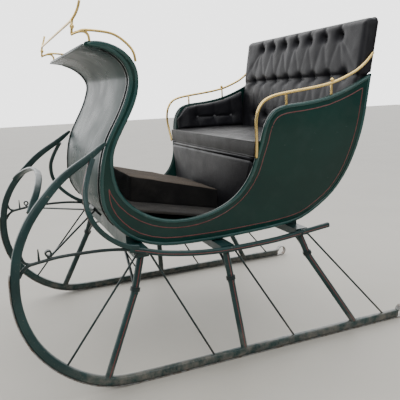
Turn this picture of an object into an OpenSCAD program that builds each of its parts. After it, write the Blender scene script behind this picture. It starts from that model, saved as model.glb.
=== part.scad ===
// Horse drawn sleigh of the curved one-horse cutter type, with a dash, a swell-sided body and a tufted seat.
// The front of the sleigh faces -X, +Z is up, and the origin is on the ground at the middle of the box.

/* [Overall] */
// Length from the nose of the runners to their rear scrolls
overall_length = 1690; // [1400:10:2040]
// Height from the ground to the tips of the rein rail
overall_height = 1350; // [1120:10:1620]
// Track, from the middle of one runner to the middle of the other
track = 1050; // [950:5:1200]

/* [Body] */
// Width of the body over its side panels, at the floor
body_width = 780; // [680:5:860]
// Width of the body over its side panels, at the arm rests
seat_width = 1030; // [900:5:1100]
// Width of the body over its side panels, at the lip of the dash
dash_width = 920; // [840:5:980]
// Thickness of the side panels
panel_t = 12; // [8:1:20]
// Thickness of the dash, floor and back sheets
sheet_t = 10; // [6:1:16]
// Thickness of the boards inside the body
board_t = 14; // [10:1:22]

/* [Seat] */
// Thickness of the seat cushion
cushion_t = 65; // [40:1:110]
// Thickness of the padded seat back
back_t = 48; // [35:1:80]
// Height of the seat back above the top corner of the side panels
back_rise = 222; // [150:2:300]
// Thickness of the arm pads
arm_pad_t = 42; // [25:1:60]
// Width of the loose foot rest
foot_rest_w = 400; // [250:5:600]
// Height of the front edge of the foot rest above the toe board
foot_rest_h = 104; // [60:1:140]

/* [Runners] */
// Width of a runner
runner_w = 28; // [20:1:40]
// Depth of a runner
runner_h = 32; // [22:1:44]
// Thickness of the iron shoe under a runner
shoe_t = 5; // [3:0.5:8]
// Outer radius of the scroll at the rear end of a shoe
scroll_r = 29; // [22:1:40]

/* [Gear] */
// Diameter of the stanchions
stanchion_d = 27; // [20:1:36]
// Length of a cross bench along the sleigh
bench_l = 56; // [40:1:80]
// Height of a cross bench
bench_h = 30; // [22:1:44]
// Width of a rave, the long beam beside the benches
rave_w = 20; // [14:1:28]
// Height of a rave
rave_h = 22; // [16:1:30]
// Diameter of the knee braces
brace_d = 11; // [8:0.5:16]
// Diameter of the stay rods
stay_d = 8; // [6:0.5:12]
// Diameter of the side rails
side_rail_d = 13; // [9:0.5:18]
// Width of the scroll bands and the front cross bar
band_w = 20; // [14:1:30]
// Thickness of the front cross bar
band_t = 9; // [6:1:14]
// Thickness of the scroll bands, seen from the side
scroll_t = 18; // [9:1:24]

/* [Shaft couplings] */
// Diameter of the hole for the shaft bolt
shaft_hole_d = 12; // [8:0.5:13]
// Outer diameter of the shaft eye
shaft_eye_d = 24; // [20:0.5:32]
// Length of the shaft eye along its bolt
shaft_eye_l = 16; // [10:1:26]

/* [Brass] */
// Diameter of the arm rails
arm_rail_d = 13; // [9:0.5:18]
// Diameter of the rein rail and of the loops on the dash
rein_rail_d = 10; // [7:0.5:14]

/* [Hidden] */

// Colours
GREEN = [0.12, 0.24, 0.22];
DARK_GREEN = [0.08, 0.16, 0.15];
IRON = [0.30, 0.31, 0.32];
BRASS = [0.78, 0.58, 0.24];
BLACK = [0.07, 0.07, 0.08];
CARPET = [0.16, 0.14, 0.12];

// The outlines below are drawn on a sleigh of this length and height, and are stretched to the driving sizes
DRAWN_LENGTH = 1690;
DRAWN_HEIGHT = 1350;
// Gap left between a board and the panel that it fits between
fit_gap = 0.3;
// Depth to which a tenon or a bolted end enters the wood
tenon = 6;
// Height of the middle of a runner where it lies on the ground
ground_z = shoe_t + runner_h / 2;
DRAWN_GROUND_Z = 21;
DRAWN_TRACK = 1050;
DRAWN_HEAD_Y = 450;

function X(x) = x * overall_length / DRAWN_LENGTH;
function Z(z) = ground_z + (z - DRAWN_GROUND_Z) * (overall_height - ground_z) / (DRAWN_HEIGHT - DRAWN_GROUND_Z);

// Middle lines of the gear
rave_y = body_width / 2 + 90;
runner_y = track / 2;
BENCH_X = [X(-378), X(-30), X(330)];
FOOT_X = [X(-545), X(4), X(540)];

// ---- Curves and lofts ----

function clamp01(t) = min(1, max(0, t));
function ease(a, b, v) = let(t = clamp01((v - a) / (b - a))) t * t * (3 - 2 * t);

// One point of the smooth curve through b and c, with a before and d after
function spline_point(a, b, c, d, t) =
    0.5 * (2 * b + (c - a) * t + (2 * a - 5 * b + 4 * c - d) * t * t + (3 * b - a - 3 * c + d) * t * t * t);

// A smooth curve through rows of numbers, with steps points for each row
function smooth(rows, steps) =
    let(last = len(rows) - 1)
    concat(
        [for (i = [0:last - 1], k = [0:steps - 1])
            spline_point(rows[max(0, i - 1)], rows[i], rows[i + 1], rows[min(last, i + 2)], k / steps)],
        [rows[last]]);

function unit(v) = v / norm(v);
function along(path, i) = unit(path[min(len(path) - 1, i + 1)] - path[max(0, i - 1)]);

// Six times the volume inside a set of triangles and quads, negative when they face inwards
function face_volume(p, f) =
    [for (k = [1:len(f) - 2]) p[f[0]] * cross(p[f[k]], p[f[k + 1]])];
function total(v, i = 0) = i >= len(v) ? 0 : v[i] + total(v, i + 1);
function loft_volume(p, faces) = total([for (f = faces) total(face_volume(p, f))]);

// A solid skin over a row of closed sections that all have the same number of points
module loft(sections) {
    n = len(sections[0]);
    m = len(sections);
    points = [for (s = sections) each s];
    sides = [for (i = [0:m - 2], j = [0:n - 1])
        let(a = i * n + j, b = i * n + (j + 1) % n, c = b + n, d = a + n)
        each [[a, b, c], [a, c, d]]];
    ends = [[for (j = [n - 1:-1:0]) j], [for (j = [0:n - 1]) (m - 1) * n + j]];
    faces = concat(sides, ends);
    outward = loft_volume(points, faces) < 0;
    polyhedron(points, outward ? faces : [for (f = faces) [for (k = [len(f) - 1:-1:0]) f[k]]], convexity = 8);
}

// A rectangle with its corners cut off, as points across and up
function cut_rectangle(w, h, c) = [
    [w / 2, h / 2 - c], [w / 2 - c, h / 2], [-w / 2 + c, h / 2], [-w / 2, h / 2 - c],
    [-w / 2, -h / 2 + c], [-w / 2 + c, -h / 2], [w / 2 - c, -h / 2], [w / 2, -h / 2 + c]];
function ring(d, sides = 8) = [for (k = [0:sides - 1]) d / 2 * [cos(k * 360 / sides), sin(k * 360 / sides)]];

// A section placed at a point of a path, with its first axis near the direction across
function placed(section, point, tangent, across) =
    let(side = unit(across - (across * tangent) * tangent), up = cross(tangent, side))
    [for (q = section) point + side * q[0] + up * q[1]];

// A bar with one section along a path
module bar(path, section, across = [0, 1, 0]) {
    loft([for (i = [0:len(path) - 1]) placed(section, path[i], along(path, i), across)]);
}

// A round rod between two points
module rod(from, to, d) {
    v = to - from;
    translate(from)
        rotate([0, acos(v[2] / norm(v)), atan2(v[1], v[0])])
            cylinder(d = d, h = norm(v), $fn = 24);
}

// Draws the left hand piece on side -1 and the right hand piece on side 1
module side(s) {
    if (s < 0) mirror([0, 1, 0]) children();
    else children();
}

// ---- Body shell ----

// Columns: x and z of the edge where a side panel meets the dash, floor or back, then x and z of its free rim
BODY_ROWS = [
    [-527, 1207, -520, 1221],
    [-478, 1201, -476, 1223],
    [-428, 1181, -431, 1212],
    [-388, 1148, -382, 1185],
    [-367, 1105, -337, 1130],
    [-373, 1060, -335, 1060],
    [-400, 992, -359, 993],
    [-440, 922, -400, 920],
    [-470, 862, -432, 858],
    [-489, 790, -443, 795],
    [-498, 704, -428, 702],
    [-488, 628, -375, 632],
    [-444, 557, -300, 585],
    [-370, 497, -215, 563],
    [-262, 462, -125, 564],
    [-130, 456, -50, 582],
    [0, 457, 15, 615],
    [130, 463, 60, 662],
    [250, 471, 88, 725],
    [360, 490, 98, 790],
    [445, 537, 110, 850],
    [510, 597, 121, 908],
    [548, 670, 152, 960],
    [566, 745, 208, 983],
    [577, 830, 290, 990],
    [589, 920, 400, 1006],
    [602, 1000, 505, 1040],
    [612, 1065, 588, 1078],
    [616, 1087, 610, 1090]];
BODY_STEPS = 2;
// The rows at which the dash ends and the back begins
DASH_END_ROW = 12;
BACK_START_ROW = 20;

BODY = [for (r = smooth(BODY_ROWS, BODY_STEPS)) [X(r[0]), Z(r[1]), X(r[2]), Z(r[3])]];
function edge(i) = [BODY[i][0], BODY[i][1]];
function rim(i) = [BODY[i][2], BODY[i][3]];

// Half the width over the side panels at x, z
function half_width(x, z) =
    body_width / 2
    + (15 + ((seat_width - body_width) / 2 - 15) * ease(X(-450), X(200), x)) * ease(Z(470), Z(930), z)
    + ((dash_width - body_width) / 2 - 15) * ease(Z(1090), Z(1215), z) * ease(X(-250), X(-350), x);
function inside_width(x, z) = half_width(x, z) - panel_t - fit_gap;

// Direction into the body, square to its edge line
function inward(i) =
    let(t = unit(edge(min(len(BODY) - 1, i + 1)) - edge(max(0, i - 1)))) [-t[1], t[0]];

// Shares of the way from the edge to the rim at which a side panel has points
PANEL_SHARES = [0, 0.25, 0.5, 0.75, 1];
function panel_section(i) =
    let(line = [for (u = PANEL_SHARES) edge(i) + u * (rim(i) - edge(i))], last = len(line) - 1)
    concat(
        [for (p = line) [p[0], half_width(p[0], p[1]), p[1]]],
        [for (k = [last:-1:0]) let(p = line[k]) [p[0], half_width(p[0], p[1]) - panel_t, p[1]]]);

module side_panel(s) {
    color(GREEN) side(s) loft([for (i = [0:len(BODY) - 1]) panel_section(i)]);
}

// A sheet between the side panels, from one row of the body to another
function sheet_section(i) =
    let(a = edge(i), b = edge(i) + sheet_t * inward(i),
        wide = min(inside_width(a[0], a[1]), inside_width(b[0], b[1])))
    [[a[0], -wide, a[1]], [a[0], wide, a[1]], [b[0], wide, b[1]], [b[0], -wide, b[1]]];

module sheet(from_row, to_row) {
    loft([for (i = [from_row * BODY_STEPS:to_row * BODY_STEPS]) sheet_section(i)]);
}

module dash_panel() {
    color(GREEN) sheet(0, DASH_END_ROW);
}

module floor_panel() {
    color(GREEN) sheet(DASH_END_ROW, BACK_START_ROW);
}

module back_panel() {
    color(GREEN) sheet(BACK_START_ROW, len(BODY_ROWS) - 1);
}

// Height of the underside of the body at x, and the x of the inside of its back at z
FLOOR_LINE = [for (i = [(DASH_END_ROW - 1) * BODY_STEPS:(BACK_START_ROW + 1) * BODY_STEPS]) BODY[i]];
BACK_LINE = [for (i = [BACK_START_ROW * BODY_STEPS:len(BODY) - 1]) BODY[i]];
function floor_z(x) = lookup(x, [for (r = FLOOR_LINE) [r[0], r[1]]]);
function back_x(z) = lookup(z, [for (r = BACK_LINE) [r[1], r[0]]]) - sheet_t;

// ---- Boards inside the body ----

// A board between the side panels, along a line of x, z points that are its lower face
module fitted_board(line, rise) {
    loft([for (p = line)
        let(q = p + rise, wide = min(inside_width(p[0], p[1]), inside_width(q[0], q[1])) - 3 * fit_gap)
        [[p[0], -wide, p[1]], [p[0], wide, p[1]], [q[0], wide, q[1]], [q[0], -wide, q[1]]]]);
}

// Points in equal steps from a to b
function steps(a, b, n) = [for (k = [0:n]) a + (b - a) * k / n];

toe_front = [X(-471), Z(627)];
toe_rear = [X(74), Z(520)];
toe_slope = (toe_rear[1] - toe_front[1]) / (toe_rear[0] - toe_front[0]);
deck_z = Z(771);
seat_top_z = deck_z + board_t + cushion_t;
seat_front_x = X(88);

module toe_board() {
    color(CARPET) fitted_board(steps(toe_front, toe_rear, 8), [0, board_t]);
}

// Top of the toe board at x
function toe_z(x) = toe_front[1] + toe_slope * (x - toe_front[0]) + board_t;

module seat_front_board() {
    foot = [toe_rear[0] + fit_gap, toe_rear[1]];
    head = [seat_front_x, deck_z - fit_gap];
    color(BLACK) fitted_board(steps(foot, head, 6), [board_t, 0]);
}

module seat_deck() {
    rear = [back_x(deck_z) - 2 * fit_gap, deck_z];
    color(BLACK) fitted_board(steps([seat_front_x, deck_z], rear, 6), [0, board_t]);
}

// ---- Soft pieces ----

soft_gap = 0.4;
// Room left between a soft piece and the side panel beside it
soft_side = 4;
// The seat back leans with the edge of the body from this row to the rear corner
LEAN_ROW = 25;
corner = edge(len(BODY) - 1);
lean_start = edge(LEAN_ROW * BODY_STEPS);
seat_lean = (corner[0] - lean_start[0]) / (corner[1] - lean_start[1]);
back_top_z = corner[1] + back_rise;
// X of the rear face of the seat back above the side panels
function lean_x(z) = corner[0] + seat_lean * (z - corner[1]);
function back_front_x(z) = lean_x(z) - back_t;

module seat_cushion() {
    low = deck_z + board_t + soft_gap;
    rear = back_front_x(low) - soft_gap;
    color(BLACK)
        loft([for (x = steps(seat_front_x + 6, rear, 6))
            let(low_w = inside_width(x, low) - soft_side, top_w = inside_width(x, seat_top_z) - soft_side)
            [[x, -low_w, low], [x, low_w, low], [x, top_w, seat_top_z], [x, -top_w, seat_top_z]]]);
}

module seat_back() {
    low = deck_z + board_t + soft_gap;
    rest_z = corner[1] + 2;
    wide = inside_width(back_front_x(seat_top_z), rest_z) - soft_side;
    // The part between the side panels, in front of the back sheet
    lower = [for (z = steps(low, rest_z, 6))
        let(rear = min(back_x(z), lean_x(z) - sheet_t) - 2, half = min(wide, inside_width(back_x(z), z) - soft_side))
        [[back_front_x(z), -half, z], [rear, -half, z], [rear, half, z], [back_front_x(z), half, z]]];
    // The part above the side panels rests on their rims and has rounded top edges
    upper_wide = seat_width / 2 - 5;
    front_z = rim_z(back_front_x(rest_z)) + 1;
    rise = (rest_z - front_z) / (back_x(corner[1]) - 2 - back_front_x(rest_z));
    upper = [for (r = [[rest_z, 0], [back_top_z - 20, 0], [back_top_z - 6, 3], [back_top_z, 10]])
        let(x0 = back_front_x(r[0]) + r[1], x1 = lean_x(r[0]) - r[1], half = upper_wide - r[1],
            z0 = r[0] == rest_z ? front_z : r[0], z1 = r[0] == rest_z ? front_z + rise * (x1 - x0) : r[0])
        [[x0, -half, z0], [x1, -half, z1], [x1, half, z1], [x0, half, z0]]];
    color(BLACK) union() {
        loft(lower);
        loft(upper);
    }
}

// Height of the rim of a side panel over the seat
RIM_LINE = [for (i = [21 * BODY_STEPS:len(BODY) - 1]) [BODY[i][2], BODY[i][3]]];
function rim_z(x) = lookup(x, RIM_LINE);

module arm_pad(s) {
    low = seat_top_z + soft_gap;
    front = X(132);
    color(BLACK) side(s)
        loft([for (x = steps(front, back_front_x(seat_top_z) - soft_gap, 7))
            let(top = rim_z(x) - 12,
                outer = min(inside_width(x, low), inside_width(x, (low + top) / 2)) - soft_side,
                outer_top = inside_width(x, top) - soft_side,
                t = x < front + 10 ? arm_pad_t / 2 : arm_pad_t)
            [[x, outer, low], [x, outer_top, top], [x, outer_top - t, top], [x, outer - t, low]]]);
}

module foot_rest() {
    front = X(-338);
    rear = X(52);
    rear_h = foot_rest_h * 0.8;
    color(CARPET)
        rotate([90, 0, 0])
            linear_extrude(foot_rest_w, center = true)
                polygon([
                    [front, toe_z(front) + soft_gap], [rear, toe_z(rear) + soft_gap],
                    [rear + 6, toe_z(rear) + rear_h], [front + 8, toe_z(front) + foot_rest_h]]);
}

// ---- Runners ----

// Columns: x, share of the way in from the track line to the body, z, share of the full width and of the full depth
RUNNER_ROWS = [
    [-466, 1, 880, 0.35, 0.35],
    [-490, 0.99, 862, 0.6, 0.6],
    [-532, 0.97, 832, 0.72, 0.75],
    [-602, 0.95, 789, 0.8, 0.85],
    [-652, 0.9, 750, 0.86, 0.92],
    [-704, 0.79, 698, 0.92, 0.97],
    [-746, 0.67, 650, 0.97, 1],
    [-778, 0.56, 600, 1, 1],
    [-804, 0.47, 540, 1, 1],
    [-819, 0.39, 470, 1, 1],
    [-824, 0.32, 400, 1, 1],
    [-818, 0.26, 335, 1, 1],
    [-801, 0.2, 270, 1, 1],
    [-772, 0.14, 208, 1, 1],
    [-730, 0.09, 152, 1, 1],
    [-676, 0.05, 102, 1, 1],
    [-612, 0.02, 61, 1, 1],
    [-545, 0, 35, 1, 1],
    [-470, 0, 23, 1, 1],
    [-380, 0, 21, 1, 1],
    [-200, 0, 21, 1, 1],
    [200, 0, 21, 1, 1],
    [560, 0, 21, 1, 1],
    [786, 0, 21, 1, 1]];
RUNNER_STEPS = 3;
RUNNER = smooth(RUNNER_ROWS, RUNNER_STEPS);
// The upper end of a runner lies against the side of the body
tip_y = half_width(X(RUNNER_ROWS[0][0]), Z(RUNNER_ROWS[0][2])) + runner_w * RUNNER_ROWS[0][3] / 2 - fit_gap;
RUNNER_PATH = [for (r = RUNNER) [X(r[0]), runner_y + r[1] * (tip_y - runner_y), Z(r[2])]];
// The stretch of a runner below its nose, and the stretch above it
NOSE_ROW = 12;
RUNNER_LOW = [for (i = [NOSE_ROW * RUNNER_STEPS:len(RUNNER) - 1]) RUNNER_PATH[i]];
RUNNER_HIGH = [for (i = [0:NOSE_ROW * RUNNER_STEPS]) RUNNER_PATH[i]];
// Middle height of a runner at x below its nose, and its distance out at z above it
function runner_z(x) = lookup(x, [for (p = RUNNER_LOW) [p[0], p[2]]]);
function runner_low_y(x) = lookup(x, [for (p = RUNNER_LOW) [p[0], p[1]]]);
function runner_high_y(z) = lookup(z, [for (p = RUNNER_HIGH) [p[2], p[1]]]);

module runner(s) {
    color(GREEN) side(s)
        loft([for (i = [0:len(RUNNER) - 1])
            placed(cut_rectangle(runner_w * RUNNER[i][3], runner_h * RUNNER[i][4], 4 * RUNNER[i][3]),
                RUNNER_PATH[i], along(RUNNER_PATH, i), [0, 1, 0])]);
}

// The shoe starts at this row of the runner and follows its lower face, then curls up behind it
SHOE_START_ROW = 9;
scroll_x = overall_length / 2 - scroll_r;
SHOE_LINE = concat(
    [for (i = [SHOE_START_ROW * RUNNER_STEPS:len(RUNNER) - 1])
        let(t = along(RUNNER_PATH, i))
        RUNNER_PATH[i] + (runner_h + shoe_t) / 2 * [t[2], 0, -t[0]]],
    [for (a = [-90:30:180])
        [scroll_x + (scroll_r - shoe_t / 2) * cos(a), runner_y, scroll_r + (scroll_r - shoe_t / 2) * sin(a)]]);

module runner_shoe(s) {
    color(IRON) side(s) bar(SHOE_LINE, cut_rectangle(runner_w - 2, shoe_t, 0.6));
}

// ---- Stanchions, benches and braces ----

// Columns: x, distance in from the widest place, z of the middle of a rave
RAVE_ROWS = [
    [-425, 0, 497], [-383, 0, 488], [-311, 0, 467], [-233, 0, 453], [-152, 0, 443], [-68, 0, 438],
    [19, 1, 438], [109, 4, 440], [201, 12, 442], [314, 24, 449], [400, 30, 457], [462, 32, 463]];
RAVE_PATH = [for (r = smooth(RAVE_ROWS, 2)) [X(r[0]), rave_y - r[1], Z(r[2])]];
function rave_z(x) = lookup(x, [for (p = RAVE_PATH) [p[0], p[2]]]);
function rave_out(x) = lookup(x, [for (p = RAVE_PATH) [p[0], p[1]]]);
// A bench is level with the raves, and lower where the belly of the body comes down further
function bench_top(k) = min(rave_z(BENCH_X[k]) + rave_h / 2 + 2,
    floor_z(BENCH_X[k] - bench_l / 2) - 2 * fit_gap, floor_z(BENCH_X[k] + bench_l / 2) - 2 * fit_gap);
function bench_low(k) = bench_top(k) - bench_h;

module rave(s) {
    color(GREEN) side(s) bar(RAVE_PATH, cut_rectangle(rave_w, rave_h, 4));
}

// Stanchion k on the right hand side: its foot on the runner, its knee and its head under the bench
KNEE_ROWS = [[-415, 55, 328], [-18, 55, 302], [360, 58, 341]];
head_in = rave_w / 2 + stanchion_d / 2 + 6;
function foot(k) = [FOOT_X[k], runner_y, runner_z(FOOT_X[k]) + runner_h / 2];
function knee_inset(k) = KNEE_ROWS[k][1] * (runner_y - head(k)[1]) / (DRAWN_TRACK / 2 - DRAWN_HEAD_Y);
function knee(k) = [X(KNEE_ROWS[k][0]), runner_y - knee_inset(k), Z(KNEE_ROWS[k][2])];
function head(k) = [BENCH_X[k], rave_out(BENCH_X[k]) - head_in, bench_low(k)];

module stanchion(k, s) {
    low = unit(knee(k) - foot(k));
    high = unit(head(k) - knee(k));
    color(GREEN) side(s) {
        rod(foot(k) - tenon * low, knee(k), stanchion_d);
        translate(knee(k)) sphere(d = stanchion_d * 1.08, $fn = 24);
        rod(knee(k), head(k) + tenon * high, stanchion_d);
    }
}

// A beam across the sleigh, with a saddle on it that fits the belly of the body
module cross_bench(k) {
    x0 = BENCH_X[k] - bench_l / 2;
    x1 = BENCH_X[k] + bench_l / 2;
    saddle_w = body_width - 60;
    beam_w = 2 * min(rave_out(x0), rave_out(x1)) - rave_w + 1;
    color(DARK_GREEN) rotate([90, 0, 0]) {
        linear_extrude(beam_w, center = true)
            polygon([[x0, bench_low(k)], [x1, bench_low(k)], [x1, bench_top(k)], [x0, bench_top(k)]]);
        linear_extrude(saddle_w, center = true)
            polygon(concat([[x0, bench_low(k) + 5], [x1, bench_low(k) + 5]],
                [for (x = steps(x1, x0, 14)) [x, max(bench_top(k), floor_z(x) - 2 * fit_gap)]]));
    }
}

// A clamp above each knee holds a brace that bends under the bench, this far from the middle of the sleigh
BRACE_END_Y = [130, 310, 320];
clamp_h = 16;
clamp_rise = 14;
clamp_wall = 5;

module knee_brace(k) {
    axis = unit(head(k) - knee(k));
    clamp = knee(k) + clamp_rise * axis;
    top = bench_low(k) - brace_d / 2;
    run = norm([clamp[0] - BENCH_X[k], clamp[1] - BRACE_END_Y[k]]) - (stanchion_d + clamp_wall) / 2;
    drop = top - clamp[2];
    bend_r = (run * run + drop * drop) / (2 * drop);
    sweep = atan2(run, bend_r - drop);
    heading = atan2(clamp[1] - BRACE_END_Y[k], clamp[0] - BENCH_X[k]);
    difference() {
        union() {
            translate([BENCH_X[k], BRACE_END_Y[k], top - bend_r])
                rotate([0, 0, heading]) rotate([90, 0, 0]) rotate([0, 0, 90 - sweep])
                    rotate_extrude(angle = sweep, $fn = 96)
                        translate([bend_r, 0]) circle(d = brace_d, $fn = 20);
            rod(clamp - axis * clamp_h / 2, clamp + axis * clamp_h / 2, stanchion_d + 2 * clamp_wall);
        }
        rod(clamp - axis * 2 * clamp_h, clamp + axis * 2 * clamp_h, stanchion_d + 2 * fit_gap);
    }
    translate([BENCH_X[k] - 12, BRACE_END_Y[k] - 26, top - 2]) cube([24, 36, brace_d / 2 + 2]);
}

module knee_braces(k) {
    color(DARK_GREEN) {
        side(1) knee_brace(k);
        side(-1) knee_brace(k);
    }
}

// Columns: x of the top on the rave, x of the foot on the runner
STAY_ROWS = [[-395, -687], [-348, -125], [-2, 240], [350, 708]];

module stay_rods(s) {
    color(DARK_GREEN) side(s)
        for (r = STAY_ROWS) {
            top_x = X(r[0]);
            foot_x = X(r[1]);
            rod([foot_x, runner_low_y(foot_x), runner_z(foot_x) + runner_h / 2 - tenon],
                [top_x, rave_out(top_x), rave_z(top_x) - rave_h / 2 + 2], stay_d);
        }
}

// ---- Rails and scrolls in front of the body ----

// Columns: x, share of the way from the rave to the runner, z
SIDE_RAIL_ROWS = [
    [-412, 0, 494], [-440, 0, 500], [-480, 0, 506], [-531, 0, 510], [-601, 0.05, 511], [-669, 0.1, 510],
    [-719, 0.2, 504], [-752, 0.4, 499], [-775, 0.6, 494], [-793, 0.8, 480], [-807, 1, 458]];
SIDE_RAIL_FORK = [[-764, 0.5, 497], [-784, 0.7, 505], [-793, 0.9, 524], [-796, 1, 548]];
function rail_path(rows) = [for (r = smooth(rows, 3))
    [X(r[0]), rave_y + r[1] * (runner_high_y(Z(r[2])) - rave_y), Z(r[2])]];

module side_rail(s) {
    color(DARK_GREEN) side(s) {
        bar(rail_path(SIDE_RAIL_ROWS), ring(side_rail_d));
        bar(rail_path(SIDE_RAIL_FORK), ring(side_rail_d * 0.85));
    }
}

// Columns: x, share of the way out from the tip of the runner to the rave, z of the scroll band
SCROLL_ROWS = [
    [-519, 0.1, 826], [-536, 0.35, 795], [-552, 0.65, 760], [-564, 0.9, 725], [-567, 1.1, 688], [-562, 1.25, 650],
    [-545, 1.3, 610], [-514, 1.25, 570], [-470, 1.1, 532], [-428, 1, 509], [-390, 1, 502]];

module scroll_band(s) {
    path = [for (r = smooth(SCROLL_ROWS, 3)) [X(r[0]), tip_y + r[1] * (rave_y - tip_y), Z(r[2])]];
    color(GREEN) side(s) bar(path, cut_rectangle(band_w, scroll_t, 2));
}

// Columns: share of the half width, x, z of the arched bar between the runners
CROSS_BAR_ROWS = [[0, -675, 750], [0.3, -681, 744], [0.55, -696, 727], [0.75, -714, 706], [0.9, -733, 684], [1, -747, 662]];

module front_cross_bar() {
    reach = runner_high_y(Z(CROSS_BAR_ROWS[5][2])) - runner_w / 2 + 2;
    half = [for (r = smooth(CROSS_BAR_ROWS, 3)) [X(r[1]), r[0] * reach, Z(r[2])]];
    mirrored = [for (i = [len(half) - 1:-1:1]) [half[i][0], -half[i][1], half[i][2]]];
    color(GREEN) bar(concat(mirrored, half), cut_rectangle(band_w + 6, band_t + 2, 2), [1, 0, -0.5]);
}

// Two rods that meet under the front of the body, and the plate that holds them there
DRAFT_ROD = [-712, 506];
plate_t = 10;
plate_w = 90;
plate_h = 46;

module draft_rods() {
    row = DASH_END_ROW * BODY_STEPS;
    n = inward(row);
    plate = [edge(row)[0] - (plate_t / 2 - 0.5) * n[0], 0, edge(row)[1] - (plate_t / 2 - 0.5) * n[1]];
    color(DARK_GREEN) {
        for (s = [-1, 1]) rod([X(DRAFT_ROD[0]), s * rave_y, Z(DRAFT_ROD[1])], plate, stay_d);
        translate(plate) rotate([0, -atan2(n[1], n[0]), 0]) cube([plate_t, plate_w, plate_h], center = true);
    }
}

module shaft_coupling(s) {
    eye = [X(-706), rave_y - 1, Z(506) + side_rail_d / 2 + shaft_eye_d / 2 + 4];
    stem_w = 10;
    pin = [X(-738), rave_y - 1, Z(501) + side_rail_d / 2 - 2];
    color(DARK_GREEN) side(s) {
        difference() {
            union() {
                translate(eye) rotate([90, 0, 0]) cylinder(d = shaft_eye_d, h = shaft_eye_l, center = true, $fn = 40);
                translate([eye[0] - stem_w / 2, eye[1] - stem_w / 2, eye[2] - shaft_eye_d / 2 - 6])
                    cube([stem_w, stem_w, 10]);
            }
            translate(eye) rotate([90, 0, 0])
                cylinder(d = shaft_hole_d, h = 2 * shaft_eye_l, center = true, $fn = 40);
        }
        translate(pin) cylinder(d1 = 9, d2 = 4, h = 42, $fn = 20);
    }
}

// ---- Brass rails ----

// Columns: x, z of an arm rail, at the side of the body
ARM_RAIL_ROWS = [[96, 786], [92, 830], [86, 880], [84, 925], [94, 968], [118, 1000], [160, 1018], [226, 1029], [300, 1038], [377, 1049], [440, 1063], [500, 1085], [548, 1108], [588, 1138], [620, 1172]];
arm_rail_out = 3.2;

module arm_rail(s) {
    path = [for (p = smooth(ARM_RAIL_ROWS, 3))
        let(x = X(p[0]), z = Z(p[1])) [x, half_width(max(x, X(110)), min(z, Z(900))) + arm_rail_out, z]];
    post_x = X(217);
    knob_x = X(424);
    color(BRASS) side(s) {
        bar(path, ring(arm_rail_d));
        translate([post_x, half_width(post_x, Z(980)) - panel_t / 2, rim_z(post_x) - 2])
            cylinder(d = 9, h = Z(1029) - rim_z(post_x), $fn = 20);
        translate([knob_x, half_width(knob_x, Z(1010)) - panel_t / 2, rim_z(knob_x) - 2])
            cylinder(d = 9, h = Z(1060) - rim_z(knob_x), $fn = 20);
        translate([knob_x, half_width(knob_x, Z(1010)), Z(1070)]) sphere(d = 15, $fn = 24);
    }
}

// Columns: share of the way out to its post, x, z of the rein rail from its middle to its tip
rein_y = dash_width / 2 - panel_t / 2;
REIN_ROWS = [
    [0, -555, 1288], [0.5, -555, 1288], [0.9, -555, 1288], [1, -555, 1290], [1.04, -551, 1296], [1.07, -545, 1308],
    [1.085, -539, 1323], [1.09, -534, 1342]];
REIN_POST = [-560, 1246];

module rein_rail() {
    half = [for (r = smooth(REIN_ROWS, 3)) [X(r[1]), r[0] * rein_y, Z(r[2])]];
    mirrored = [for (i = [len(half) - 1:-1:1]) [half[i][0], -half[i][1], half[i][2]]];
    color(BRASS) {
        bar(concat(mirrored, half), ring(rein_rail_d), [1, 0, 0]);
        for (s = [-1, 1]) translate([0, s * rein_y, 0]) {
            rod([X(REIN_POST[0]), 0, Z(REIN_POST[1])], [X(REIN_ROWS[0][1]), 0, Z(REIN_ROWS[0][2])], rein_rail_d - 1);
            translate([X(-557), 0, Z(1268)]) sphere(d = rein_rail_d * 1.6, $fn = 24);
        }
    }
}

// Columns: x, z of the bracket on the lip of the dash, and of the long rail behind it
BRACKET_ROWS = [[-563, 1242], [-549, 1248], [-535, 1252], [-520, 1252], [-510, 1246], [-505, 1236], [-504, 1214]];
LONG_RAIL_ROWS = [
    [-536, 1252], [-522, 1257], [-482, 1255], [-433, 1248], [-400, 1232], [-370, 1206], [-355, 1182], [-351, 1154]];
function dash_rail_path(rows) = [for (r = smooth(rows, 3)) [X(r[0]), rein_y, Z(r[1])]];

module dash_loop(s) {
    color(BRASS) side(s) {
        bar(dash_rail_path(BRACKET_ROWS), ring(rein_rail_d));
        bar(dash_rail_path(LONG_RAIL_ROWS), ring(rein_rail_d));
    }
}

runner(-1);  // runner_left
runner(1);  // runner_right
runner_shoe(-1);  // runner_shoe_left
runner_shoe(1);  // runner_shoe_right
stanchion(0, -1);  // stanchion_front_left
stanchion(0, 1);  // stanchion_front_right
stanchion(1, -1);  // stanchion_mid_left
stanchion(1, 1);  // stanchion_mid_right
stanchion(2, -1);  // stanchion_rear_left
stanchion(2, 1);  // stanchion_rear_right
cross_bench(0);  // cross_bench_front
cross_bench(1);  // cross_bench_mid
cross_bench(2);  // cross_bench_rear
knee_braces(0);  // knee_braces_front
knee_braces(1);  // knee_braces_mid
knee_braces(2);  // knee_braces_rear
stay_rods(-1);  // stay_rods_left
stay_rods(1);  // stay_rods_right
rave(-1);  // rave_left
rave(1);  // rave_right
side_rail(-1);  // side_rail_left
side_rail(1);  // side_rail_right
scroll_band(-1);  // scroll_band_left
scroll_band(1);  // scroll_band_right
front_cross_bar();
draft_rods();
shaft_coupling(-1);  // shaft_coupling_left
shaft_coupling(1);  // shaft_coupling_right
side_panel(-1);  // side_panel_left
side_panel(1);  // side_panel_right
dash_panel();
floor_panel();
back_panel();
toe_board();
seat_front_board();
seat_deck();
seat_cushion();
seat_back();
arm_pad(-1);  // arm_pad_left
arm_pad(1);  // arm_pad_right
foot_rest();
arm_rail(-1);  // arm_rail_left
arm_rail(1);  // arm_rail_right
rein_rail();
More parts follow.
